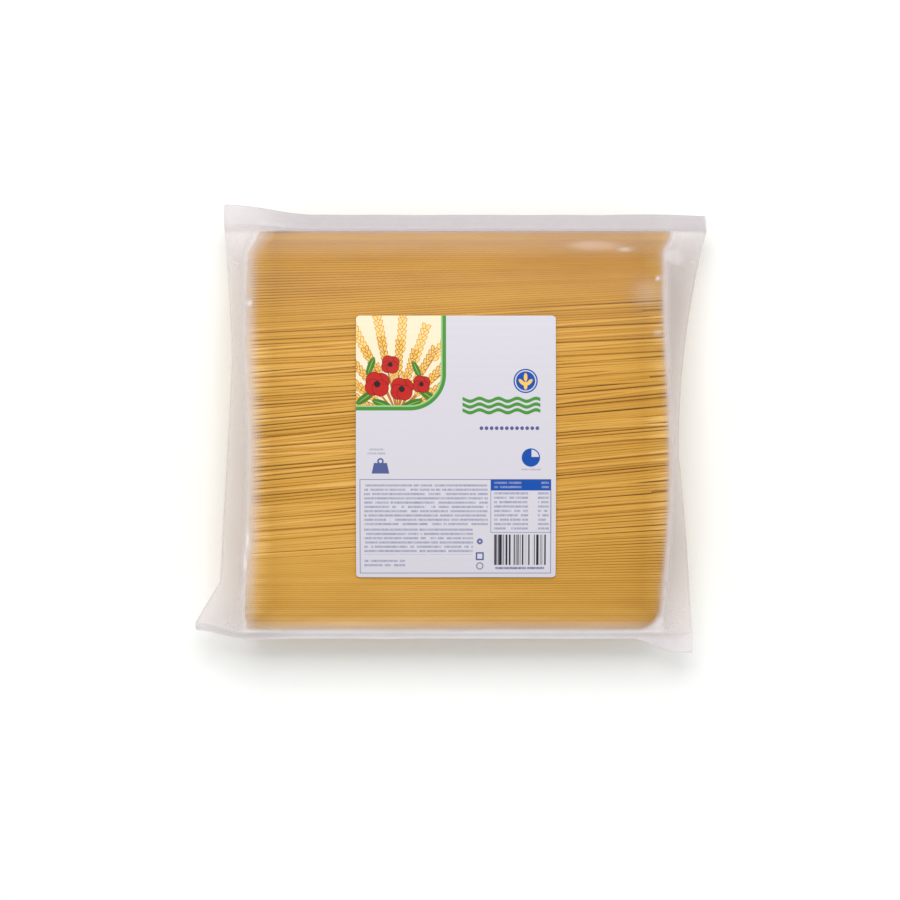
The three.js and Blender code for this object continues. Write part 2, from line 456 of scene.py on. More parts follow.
def sectionOutline(depth):
    # the bundle's rounded section as points (y, z), moved inwards by depth, anticlockwise from -Y
    half = packet["bundleWidth"] / 2
    turn = np.linspace(0, math.pi, 1400)
    y = packet["bundleMiddle"][1] - half * np.cos(turn)
    top = np.stack([y, packet["seamHeight"] + bundleRise(y)], axis=1)
    bottom = np.stack([y, packet["seamHeight"] - bundleDrop(y)], axis=1)
    reach, closed = walkRound(np.concatenate([bottom, top[::-1][1:-1]]))
    even = np.linspace(0, reach[-1], 1600, endpoint=False)
    ring = np.stack([np.interp(even, reach, closed[:, axis]) for axis in (0, 1)], axis=1)
    ahead = np.roll(ring, -6, axis=0) - np.roll(ring, 6, axis=0)
    inward = np.stack([-ahead[:, 1], ahead[:, 0]], axis=1)
    inward /= np.linalg.norm(inward, axis=1)[:, None]
    return ring + inward * depth


def placesOn(ring, rng, loose):
    # strand centres along the ring, with each one's group, and a gap between one loose group and the next
    reach, closed = walkRound(ring)
    places = []
    travelled = 0.0
    group = 0
    left = rng.randint(*spaghetti["groupSize"])
    while travelled < reach[-1] - spaghetti["diameter"]:
        y, z = (float(np.interp(travelled, reach, closed[:, axis])) for axis in (0, 1))
        free = loose * (z > packet["seamHeight"]) * float(looseness(y))
        places.append((y, z, group))
        apart = mix(spaghetti["tight"], spaghetti["slack"], free)
        travelled += spaghetti["diameter"] * apart * rng.uniform(*spaghetti["unevenness"])
        left -= 1
        if left <= 0:
            group += 1
            left = rng.randint(*spaghetti["groupSize"])
            travelled += free * rng.uniform(*spaghetti["gap"])
    return places


def strandPath(rng, y, z, stations, lean, wave, stray=0.0, shortShare=0.0):
    # the middle line of one strand, which keeps its depth under the top of the bundle as it leans
    spread, slip = spaghetti["lengthSpread"], spaghetti["slip"]
    half = packet["strandLength"] / 2 + rng.uniform(-spread, spread)
    slide = rng.gauss(0, spaghetti["slide"])
    slide += (rng.random() < spaghetti["slipShare"]) * rng.uniform(-slip, slip)
    cuts = [rng.uniform(*spaghetti["shortBy"]) if rng.random() < shortShare else 0 for _ in range(2)]
    cuts[1] += spaghetti["cornerCut"] * float(smooth(-110, -124, y)) ** 2
    along = np.linspace(-half + cuts[0], half - cuts[1], stations)
    swing = wave * np.sin(along / half * rng.uniform(1.2, 2.6) + rng.uniform(0, 6.3))
    across = y + math.tan(lean) * along + swing
    upper = z > packet["seamHeight"] + spaghetti["followFrom"]
    follow = (bundleRise(across) - bundleRise(np.array(y))) if upper else np.zeros(stations)
    x = packet["bundleMiddle"][0] + along + bundleSlide(across) + slide
    return np.stack([x, across, z + follow + stray], axis=1)


class StrandHeap:  # gathers strands as arrays, and makes one mesh of them
    def __init__(self):
        self.points = []
        self.faces = []
        self.rounded = []
        self.tones = []
        self.count = 0

    def add(self, path, sides, tone):
        stations = len(path)
        radius = spaghetti["diameter"] / 2
        turn = np.arange(sides) * 2 * math.pi / sides
        ring = np.stack([np.zeros(sides), np.cos(turn), np.sin(turn)], axis=1) * radius
        self.points.append((path[:, None, :] + ring[None, :, :]).reshape(-1, 3))
        first = self.count
        for s in range(stations - 1):
            low = first + s * sides
            for j in range(sides):
                after = (j + 1) % sides
                self.faces.append((low + j, low + after, low + sides + after, low + sides + j))
        self.faces.append(tuple(first + j for j in reversed(range(sides))))
        self.faces.append(tuple(first + (stations - 1) * sides + j for j in range(sides)))
        self.rounded += [True] * ((stations - 1) * sides) + [False, False]
        self.tones += [tone] * (stations * sides)
        self.count += stations * sides

    def makePiece(self, name):
        mesh = bpy.data.meshes.new(name)
        points = np.concatenate(self.points)
        mesh.from_pydata(points.tolist(), [], self.faces)
        piece = bpy.data.objects.new(name, mesh)
        bpy.context.collection.objects.link(piece)
        mesh.polygons.foreach_set("use_smooth", self.rounded)
        placePoints(piece, points)
        addAttribute(piece, "tone", self.tones)
        return piece


def pastaMaterial():
    bench = Bench("driedPasta")
    tone = bench.attribute("tone")
    place = bench.position()
    x, y, z = bench.split(place)
    streaks = bench.noise(bench.join(x * 0.02, y * 0.12, z * 0.12), 1.0, 3.0)
    grain = bench.noise(place, 1.4, 3.0, 0.6)
    middleX = packet["bundleMiddle"][0] + layoutShift[0] / mm
    paleX, paleY = spaghetti["paintedLightFrom"]
    # painted light: the strands' ends and the lowest strands are painted paler
    ends = ((abs(x - middleX) - paleX) / 14).clamped()
    low = ((paleY + layoutShift[1] / mm - y) / 12).clamped()
    lit = ends.combine("MAXIMUM", low) * 0.45
    # painted shade: strands painted darker towards the right
    right = ((x - middleX) / 110).clamped() * spaghetti["paintedShadeRight"]
    level = (tone * 0.7 + streaks * 0.4 + grain * 0.08 - 0.12 + lit - right).clamped()
    stops = [
        (0.0, colour(188, 136, 48)),
        (0.35, colour(206, 157, 62)),
        (0.6, colour(217, 169, 77)),
        (1.0, colour(252, 212, 130)),
    ]
    base = bench.add("ShaderNodeValToRGB", {"stops": stops}, {"Fac": level})
    inputs = {
        "Base Color": base,
        "Roughness": 0.6,
        "Specular IOR Level": 0.15,
        "Normal": bench.bump(grain, 0.15, 0.0001),
    }
    return bench.surface(bench.add("ShaderNodeBsdfPrincipled", None, inputs))


def makeSpaghetti():
    rng = random.Random(spaghetti["seed"])
    heap = StrandHeap()
    radius = spaghetti["diameter"] / 2
    layers = [
        {"sides": 10, "stations": 9, "loose": 1.0, "wave": 1.0},
        {"sides": 8, "stations": 5, "loose": 0.4, "wave": 0.7},
        {"sides": 6, "stations": 4, "loose": 0.0, "wave": 0.3},
    ]
    for number, layer in enumerate(layers):
        depth = radius + 0.1 + number * spaghetti["layerDepth"]
        groupLean = 0.0
        lastGroup = -1
        for y, z, group in placesOn(sectionOutline(depth), rng, layer["loose"]):
            dip = 0.0
            if group != lastGroup:
                lastGroup = group
                groupLean = 0.6 * groupLean + rng.gauss(0, spaghetti["groupLean"])
                sunk = rng.uniform(*spaghetti["sink"])
                dip = rng.uniform(*spaghetti["dip"])
                groupTone = rng.uniform(-spaghetti["groupTone"], spaghetti["groupTone"])
            upper = float(z > packet["seamHeight"] + spaghetti["followFrom"])
            free = float(looseness(np.array(y))) * upper * layer["wave"]
            own = groupLean + rng.gauss(0, spaghetti["ownLean"])
            lean = float(strandLean(np.array(y))) * upper + math.radians(own * free)
            wave = spaghetti["wave"] * free * rng.random()
            short = spaghetti["shortShare"] * free if number == 0 else 0.0
            path = strandPath(rng, y, z, layer["stations"], lean, wave, -(sunk + dip) * free, short)
            tone = 0.5 + groupTone + rng.gauss(0, spaghetti["ownTone"])
            tone += 0.08 * float(drift(np.array(y), 5, 70))
            # painted shade: strands painted darker towards the packet's top edge
            tone -= spaghetti["paintedShadeTop"] * float(smooth(20, 95, y))
            heap.add(path, layer["sides"], tone)
    addStrays(heap, rng)
    addInside(heap, rng, radius + len(layers) * spaghetti["layerDepth"])
    piece = heap.makePiece("spaghetti")
    piece.data.materials.append(pastaMaterial())
    return piece


def addStrays(heap, rng):
    # single strands that cross the others at a slight angle, half sunk between them
    for _ in range(spaghetti["strays"]):
        y = rng.uniform(-spaghetti["strayReach"], spaghetti["strayReach"])
        z = packet["seamHeight"] + float(bundleRise(np.array(y))) - rng.uniform(*spaghetti["strayDepth"])
        lean = float(strandLean(np.array(y))) + math.radians(rng.gauss(0, spaghetti["strayLean"]))
        heap.add(strandPath(rng, y, z, 9, lean, 0.4, 0.0), 10, rng.uniform(*spaghetti["strayTone"]))


def addInside(heap, rng, depth):
    # the strands of which only the ends show, packed closely
    ring = sectionOutline(depth)
    low, high = ring.min(axis=0), ring.max(axis=0)
    pitch = spaghetti["diameter"] * spaghetti["insidePitch"]
    rowPitch = pitch * spaghetti["insideRows"]
    spread = spaghetti["insideSpread"]
    row = 0
    z = low[1] + spaghetti["diameter"] / 2
    while z < high[1]:
        y = low[0] + (row % 2) * pitch / 2
        while y < high[0]:
            place = (y + rng.gauss(0, spread), z + rng.gauss(0, spread))
            if insideRing(ring, place):
                heap.add(strandPath(rng, *place, 2, 0.0, 0.0), 5, rng.gauss(0.5, 0.14))
            y += pitch
        z += rowPitch
        row += 1


def insideRing(ring, place):
    y, z = place
    after = np.roll(ring, -1, axis=0)
    crosses = (ring[:, 1] > z) != (after[:, 1] > z)
    rise = np.where(crosses, after[:, 1] - ring[:, 1], 1.0)
    reach = ring[:, 0] + (z - ring[:, 1]) * (after[:, 0] - ring[:, 0]) / rise
    return bool(np.count_nonzero(crosses & (y < reach)) % 2)


spaghettiPiece = makeSpaghetti()
print("spaghetti:", len(spaghettiPiece.data.polygons), "faces")


# Film bag

film = {
    "columns": 190,
    "rows": 230,
    "half": 0.12,  # half the gap between the two sheets where they are sealed
    "clearance": 0.7,
    "floorGap": 0.4,  # between the lower sheet and the floor
    "lowest": 0.35,  # the least height of any point, folds too
    "finLength": 13,
    "finArc": 6,  # how much of it is bent
    "finShare": 0.06,  # of the sheet's rows that each fin takes
    "sideShare": 0.17,  # of the sheet's columns that each folded side takes
    "earDroop": 5,
    "earSpan": (85, 148),
    "lastEarSpan": (112, 150),  # of the bottom right ear
    "earStart": 60,
    # bend: degrees down at the left ear, middle and right ear; pull: how far up both ears are drawn
    "top": {"rootY": 125.2, "outward": 1, "bend": (5, 45, 45), "pull": (4, 0)},
    "bottom": {"rootY": -126, "outward": -1, "bend": (80, 88, 8), "pull": (6, 0)},
    # waist: X and Y of the narrowest place; top and bottom: how far the side flares to there, and the
    # power of that curve; ear: how much further it goes, and the Y from which it does
    "leftSide": {"waist": (-137, 45), "top": (5.5, 1.3), "bottom": (8, 1.0), "ear": (15.5, -98)},
    "rightSide": {"waist": (142, -16), "top": (18, 2.1), "bottom": (9, 0.8)},
    # the milky veil's two colours: grey where it is painted in shade, pale where it is painted lit
    "grey": colour(178, 170, 174),
    "pale": colour(243, 238, 240),
    "gloss": 0.005,
    "edgeGloss": 0.6,
    "tint": (0.97, 0.954, 0.958, 1),
    "sealWidth": 12,
}

# How milky the film is by where it is, from 0 for clear to 1, with painted highlights and a painted
# reflection laid into that milk, and how lit its veil is painted, as painted light and shade
milkAndLight = {
    "clear": 0.01,
    "topBand": (0.03, 72, 108),  # how milky, and the Y over which it sets in
    "topEdge": (0.14, 102, 118),
    # milk over the lowest strands, partly haze and partly a painted reflection that hides their shade
    "bottomHazeAndLight": (0.95, -114.7, -134.7),
    "leftEnds": (0.46, 9),  # over the ends of the strands, partly haze and partly painted light over their shade: how milky, and how far in
    "rightEnds": (0.4, 5),
    "side": 0.19,
    "corner": 0.26,
    "cornerFrom": (84, 124),  # distance along Y over which a side turns into a corner
    "under": 0.65,  # share of it on the lower sheet
    "cornerStrands": 0.5,
    # painted highlight along the film's outer edges
    "rimHighlight": 0.35,
    "topFin": (0.46, 0.7, 0.6),  # left ear, middle, right ear
    "bottomFin": (0.42, 0.75, 0.32),
    # how lit the veil is painted, as painted light and shade: sides, corners, strand ends, top and fins
    "palenessOfSides": (0.7, 0.05),  # left, right
    "palenessOfCorners": ((1, 0.75), (0.7, 1)),  # top left and right, bottom left and right
    "paleCornerFrom": (66, 116),
    "palenessOfEnds": (0.85, 0.6),
    "palenessOfTop": 0.3,
    # Y over which the veil over the lowest strands is painted lit
    "paleBottomFrom": (-108, -118),
    "palenessOfTopFin": (0.65, 0.3, 0.28),
    "palenessOfBottomFin": (0.7, 1, 0.96),
}

# Painted highlights: small places where the film is painted milkier and paler as if it catches the light:
# x, y, half width, half height and strength
glints = [
    (-123.8, 77.9, 1.2, 1.8, 0.7),
    (-124.6, -68, 1.0, 6, 0.55),
    (-126.5, -80, 0.8, 7, 0.5),
    (126.8, 93.2, 1.3, 1.5, 0.7),
    (125.6, 59.6, 1.6, 2.2, 0.35),
    (106.7, 111.6, 5, 1.6, 0.22),
    (88, 114, 16, 3.5, 0.1),
    (120, 84, 10, 9, 0.12),
    (138, 107, 7, 6, 0.14),
]
filmMiddleY = (film["top"]["rootY"] + film["bottom"]["rootY"]) / 2
filmHalfWidth = (film["top"]["rootY"] - film["bottom"]["rootY"]) / 2


def flared(side, waistY, endY, y):
    flare, power = side
    return flare * share(waistY, endY, y) ** power


def leftEdge(y):
    side = film["leftSide"]
    waistX, waistY = side["waist"]
    earFlare, earY = side["ear"]
    above = flared(side["top"], waistY, film["top"]["rootY"], y)
    below = flared(side["bottom"], waistY, earY, y)
    return waistX - above - below - earFlare * share(earY, film["bottom"]["rootY"], y)


def rightEdge(y):
    side = film["rightSide"]
    waistX, waistY = side["waist"]
    above = flared(side["top"], waistY, film["top"]["rootY"], y)
    return waistX + above + flared(side["bottom"], waistY, film["bottom"]["rootY"], y)


def earShare(x):
    return smooth(*film["earSpan"], np.abs(x))


def earPull(fin, x, y, free):
    # outwards the film over the strands goes with the ears, and inwards it can't
    pull = np.where(x < 0, fin["pull"][0], fin["pull"][1])
    held = np.where(pull * fin["outward"] > 0, earShare(x), smooth(0, 1, free))
    return pull * held * smooth(film["earStart"], abs(fin["rootY"]), fin["outward"] * y)


def acrossEars(values, x):
    # what three values for the left ear, the middle and the right ear come to at each x
    left, middle, right = values
    return mix(middle, np.where(x < 0, left, right), earShare(x))


def sidePart(u):
    # 0 at the film's two side edges and 1 where its sides reach the strands
    return clip01(np.minimum(u, 1 - u) / film["sideShare"])


def finParts(v):
    # how far out on the top and the bottom fin, from 0 at the root to 1 at the edge
    finShare = film["finShare"]
    return clip01((v - 1 + finShare) / finShare), clip01((finShare - v) / finShare)


def filmPoints(u, v, upper):
    # the place of a point of the film: u runs across the packet and v along it, each from 0 to 1
    finShare = film["finShare"]
    sideShare = film["sideShare"]
    along = clip01((v - finShare) / (1 - 2 * finShare))
    even = 2 * along - 1
    y = filmMiddleY + filmHalfWidth * mix(even, -np.cos(math.pi * along), 0.4)
    s = sidePart(u)
    middle = clip01((u - sideShare) / (1 - 2 * sideShare))
    start, end = strandEnds(y)
    start, end = start - 0.8, end + 0.8
    left = mix(leftEdge(y), start, s)
    right = mix(rightEdge(y), end, s)
    x = np.where(u < sideShare, left, np.where(u > 1 - sideShare, right, mix(start, end, middle)))
    rise = s ** 0.72
    free = 1 - s
    across = np.abs(y - filmMiddleY) / filmHalfWidth
    over = domeRise(across) + film["clearance"] * (1 - clip01(across) ** 8)
    under = roundedDrop(across, film["floorGap"])
    droop = film["earDroop"] * free * smooth(film["earStart"], film["top"]["rootY"], np.abs(y))
    seam = packet["seamHeight"] - droop + free * 0.35 * drift(y + 40 * (x > 0), 5, 70)
    level = mix(seam, packet["seamHeight"], rise * smooth(2, 12, under))
    lift = np.maximum(over * rise, film["half"])
    drop = np.maximum(under * rise, film["half"])
    z = np.where(upper, level + lift, np.maximum(level - drop, film["floorGap"]))
    pulled = y + earPull(film["top"], x, y, free) + earPull(film["bottom"], x, y, free)
    y = pulled
    for fin, part in zip((film["top"], film["bottom"]), finParts(v)):
        distance = film["finLength"] * part
        bendLeft, bendMiddle, bendRight = fin["bend"]
        inEar = earShare(x)
        if fin is film["bottom"]:
            inEar = np.where(x > 0, smooth(*film["lastEarSpan"], x), inEar)
        bend = np.radians(mix(bendMiddle, np.where(x < 0, bendLeft, bendRight), inEar))
        bend = bend + math.radians(1.5) * drift(x, 8 + fin["outward"], 90)
        bend = np.maximum(bend, math.radians(2))
        turned = bend * clip01(distance / film["finArc"])
        radius = film["finArc"] / bend
        straight = np.maximum(distance - film["finArc"], 0)
        out = radius * np.sin(turned) + straight * np.cos(bend)
        down = radius * (1 - np.cos(turned)) + straight * np.sin(bend)
        offset = np.where(upper, film["half"], -film["half"])
        inFin = distance > 0
        finY = pulled + fin["outward"] * (out + offset * np.sin(turned))
        finZ = seam - down + offset * np.cos(turned)
        y = np.where(inFin, finY, y)
        z = np.where(inFin, finZ, z)
    return np.stack([x, y, z], axis=1)


def outwardNormals(u, v, upper):
    step = 0.003
    acrossStep = filmPoints(clip01(u + step), v, upper) - filmPoints(clip01(u - step), v, upper)
    alongStep = filmPoints(u, clip01(v + step), upper) - filmPoints(u, clip01(v - step), upper)
    normal = np.cross(acrossStep, alongStep)
    normal /= np.maximum(np.linalg.norm(normal, axis=1), 1e-9)[:, None]
    return normal


def crease(x, y, start, end, width, height):
    # one sharp fold of the film from start to end, which fades at both
    start, end = np.array(start), np.array(end)
    run = end - start
    length = np.linalg.norm(run)
    t = ((x - start[0]) * run[0] + (y - start[1]) * run[1]) / length ** 2
    d = np.abs((x - start[0]) * run[1] - (y - start[1]) * run[0]) / length
    return height * np.exp(-d / width) * np.sin(math.pi * clip01(t)) ** 0.6


def cornerCreases(x, y, seed):
    # folds that fan out from the bundle's corners into the ears
    rng = random.Random(seed)
    total = np.zeros_like(x)
    for signX, signY in ((-1, 1), (1, 1), (-1, -1), (1, -1)):
        innerX = packet["bundleMiddle"][0] + signX * (packet["strandLength"] / 2 - 4)
        innerY = packet["bundleMiddle"][1] + signY * 98
        for _ in range(5):
            start = (innerX + signX * rng.uniform(-10, 8), innerY + signY * rng.uniform(-14, 20))
            end = (signX * rng.uniform(132, 158), signY * rng.uniform(106, 136))
            height = rng.choice((-1, 1)) * rng.uniform(0.15, 0.5)
            total += crease(x, y, start, end, rng.uniform(1.2, 2.6), height)
    return total


def sideCreases(s, y, seed):
    # long soft folds that run along the two sides of the packet
    rng = random.Random(seed)
    total = np.zeros_like(s)
    for place in (0.3, 0.55, 0.82):
        middle = place + 0.05 * drift(y, rng.randint(0, 999), 110)
        strength = 0.14 * (0.6 + 0.4 * drift(y, rng.randint(0, 999), 80))
        total += rng.choice((-1, 1)) * strength * np.exp(-((s - middle) / 0.09) ** 2)
    return total


def bandAt(name, y):
    strength, start, end = milkAndLight[name]
    return strength * smooth(start, end, y)


def milkAndLightAt(points, s, finTop, finBottom, folds, upper):
    # how milky the film is at each of its points, with painted highlights and a painted reflection in that
    # milk, and how lit its veil is painted, as painted light and shade
    x, y = points[:, 0], points[:, 1]
    start, end = strandEnds(y)
    inside = np.minimum(x - start, end - x)
    strength, depth = np.where(x[:, None] < 0, milkAndLight["leftEnds"], milkAndLight["rightEnds"]).T
    over = smooth(-7, -1, inside) * (1 - smooth(-1, depth, inside))
    side = 1 - smooth(0.7, 1.0, s)
    corner = smooth(*milkAndLight["cornerFrom"], np.abs(y))
    haze = milkAndLight["clear"] + bandAt("topBand", y) + bandAt("topEdge", y)
    haze += strength * over * (1 - 0.75 * side) * (1 - 0.4 * corner)
    haze += mix(milkAndLight["side"], milkAndLight["corner"], corner) * side
    rounding = np.hypot(clip01((x - end + 16) / 16), clip01((-y - 104) / 21))
    haze += milkAndLight["cornerStrands"] * smooth(0.86, 1.04, rounding) * smooth(-2, 2, inside)
    haze += 0.12 * np.abs(folds)
    # partly haze, partly a painted reflection over the lowest strands that hides their shade
    bandStrength, bandStart, bandEnd = milkAndLight["bottomHazeAndLight"]
    haze = mix(haze, bandStrength, smooth(bandStart, bandEnd, y) * (1 - side))
    haze *= np.where(upper, 1, milkAndLight["under"])
    # painted light and shade: how lit the veil is painted by side, corner, strand ends and fins
    topCorners, bottomCorners = (np.where(x < 0, *pair) for pair in milkAndLight["palenessOfCorners"])
    sidePale = np.where(x < 0, *milkAndLight["palenessOfSides"])
    nearCorner = smooth(*milkAndLight["paleCornerFrom"], np.abs(y))
    sidePale = mix(sidePale, np.where(y > 0, topCorners, bottomCorners), nearCorner)
    endPale = np.where(x < 0, *milkAndLight["palenessOfEnds"])
    pale = mix(np.where(inside < depth, endPale, milkAndLight["palenessOfTop"]), sidePale, side)
    # painted light: the veil over the lowest strands is painted lit
    pale = np.maximum(pale, smooth(*milkAndLight["paleBottomFrom"], y) * (1 - side))
    edges = (
        (finTop, smooth(123.2, 124.9, y), milkAndLight["topFin"], milkAndLight["palenessOfTopFin"]),
        (finBottom, smooth(-125, -126, y), milkAndLight["bottomFin"], milkAndLight["palenessOfBottomFin"]),
    )
    for inFin, nearFin, hazes, tones in edges:
        part = np.maximum(nearFin, inFin > 0)
        haze = mix(haze, acrossEars(hazes, x), part)
        pale = mix(pale, acrossEars(tones, x), part)
    # painted highlight: the film's outer edges are painted milkier and paler
    rimHighlight = 1 - smooth(0.0, 0.06, s)
    haze += milkAndLight["rimHighlight"] * rimHighlight
    pale = np.maximum(pale, rimHighlight)
    # painted highlights: each glint is painted into the milk and the veil's paleness
    for glintX, glintY, halfWidth, halfHeight, strength in glints:
        spot = upper * np.exp(-((x - glintX) / halfWidth) ** 2 - ((y - glintY) / halfHeight) ** 2)
        haze += strength * spot
        pale = np.maximum(pale, clip01(spot * 1.5))
    return clip01(haze), clip01(pale)


def filmMaterial():
    bench = Bench("clearFilm")
    place = bench.position()
    x, y, z = bench.split(place)
    cloud = bench.noise(place, 0.045, 3.0, 0.55)
    slack = bench.noise(bench.join(x * 0.06, y * 0.035, z * 0.06), 1.0, 2.0, 0.5)
    normal = bench.bump(slack, 0.2, 0.003)
    facing = bench.add("ShaderNodeLayerWeight", {}, {"Blend": 0.5, "Normal": normal}, "Facing")
    clear = bench.add("ShaderNodeBsdfTransparent", None, {"Color": film["tint"]})
    mirror = bench.plastic(baseColor=(1, 1, 1, 1), metallic=1, roughness=0.26, normal=normal)
    shine = (film["gloss"] + facing ** 5 * film["edgeGloss"]).clamped()
    # painted light and shade: the veil is blended from its shaded grey to its lit colour
    tone = bench.blend(bench.attribute("pale"), film["grey"], film["pale"])
    veilShader = bench.plastic(baseColor=tone, roughness=0.4, specular=0.25, normal=normal)
    # the milk, which also carries painted highlights and a painted reflection
    veil = (bench.attribute("haze") * (0.8 + cloud * 0.4)).clamped()
    return bench.surface(bench.layered(veil, bench.layered(shine, clear, mirror), veilShader))


def makeFilm():
    piece = gridSheet("filmBag", film["columns"], film["rows"])
    flat = readPoints(piece)
    u = (flat[:, 0] + 1) / 2
    v = (flat[:, 1] + 1) / 2
    upper = flat[:, 2] > 0
    points = filmPoints(u, v, upper)
    normal = outwardNormals(u, v, upper)
    x, y = points[:, 0], points[:, 1]
    s = sidePart(u)
    finShare = film["finShare"]
    finTop, finBottom = finParts(v)
    inFin = np.maximum(finTop, finBottom)
    body = smooth(0.0, 0.18, s) * (1 - smooth(0.0, 0.3, inFin))
    body *= smooth(finShare, finShare + 0.02, np.minimum(v, 1 - v))
    above = cornerCreases(x, y, 11) + sideCreases(s, y + 300 * (x > 0), 12) * (s < 1)
    below = cornerCreases(x, y, 21) + sideCreases(s, y + 300 * (x > 0), 22) * (s < 1)
    folds = np.where(upper, above, -below)
    upperSheet = filmPoints(u, v, np.ones_like(upper))
    lowerSheet = filmPoints(u, v, np.zeros_like(upper))
    body *= smooth(0.5, 5, upperSheet[:, 2] - lowerSheet[:, 2])  # folds stay clear of the other sheet
    resting = np.where(upper, 1.0, smooth(2, 10, points[:, 2]))
    swell = 0.2 * ripple(x, y, 14, 60) * smooth(0.72, 0.97, np.abs(y - filmMiddleY) / filmHalfWidth)
    lifted = np.where(upper, np.abs(swell), -np.abs(swell))
    points += normal * ((folds + lifted) * body * resting)[:, None]
    finWave = 0.12 * drift(x, 17, 60) * smooth(0.1, 0.9, inFin)
    points += normal * finWave[:, None]
    points[:, 2] = np.maximum(points[:, 2], film["lowest"])
    placePoints(piece, points)
    haze, pale = milkAndLightAt(points, s, finTop, finBottom, folds * body, upper)
    addAttribute(piece, "haze", haze)
    addAttribute(piece, "pale", pale)
    deselectAll()
    piece.select_set(True)
    bpy.ops.object.shade_smooth()
    piece.data.materials.append(filmMaterial())
    return piece


def makeBackSeal(material):
    # the lapped seam down the middle of the packet's back
    piece = gridSheet("backSeal", 6, 150)
    flat = readPoints(piece)
    v = mix(film["finShare"] + 0.004, 1 - film["finShare"] - 0.004, (flat[:, 1] + 1) / 2)
    points = filmPoints(np.full(len(flat), 0.5), v, np.zeros(len(flat), dtype=bool))
    points[:, 0] = packet["bundleMiddle"][0] + flat[:, 0] * film["sealWidth"] / 2
    points[:, 2] = np.maximum(points[:, 2], film["lowest"]) - 0.08 - np.where(flat[:, 2] > 0, 0, 0.12)
    placePoints(piece, points)
    addAttribute(piece, "haze", np.full(len(flat), 0.3))
    # the seam's two edges are painted lighter
    addAttribute(piece, "pale", smooth(0.7, 1.0, np.abs(flat[:, 0])))
    shadeByAngle(piece)
    piece.data.materials.append(material)
    return piece


filmPiece = makeFilm()
sealPiece = makeBackSeal(filmPiece.data.materials[0])
print("film bag:", len(filmPiece.data.polygons), "faces")


# Label

label = {
    "width": 122,
    "height": 160,
    "thickness": 0.12,
    "corner": 2,
    "columns": 60,
    "rows": 120,
    "lift": 1.08,  # above the outline of the bundle
    "white": colour(203, 200, 208),
    "cream": colour(232, 220, 190),
    "blue": colour(2, 72, 160),
    "navy": colour(76, 88, 140),
    "green": colour(66, 138, 52),
    "paleGreen": colour(150, 190, 130),
    "grey": colour(134, 136, 156),
    "bars": colour(34, 36, 48),
    "paleStraw": colour(240, 206, 124),
    "straw": (colour(176, 110, 26), colour(214, 148, 48), colour(238, 190, 88)),
    "poppy": (colour(120, 14, 12), colour(190, 26, 18), colour(40, 18, 18)),
    "leaf": (colour(62, 118, 36), colour(128, 170, 76)),
}


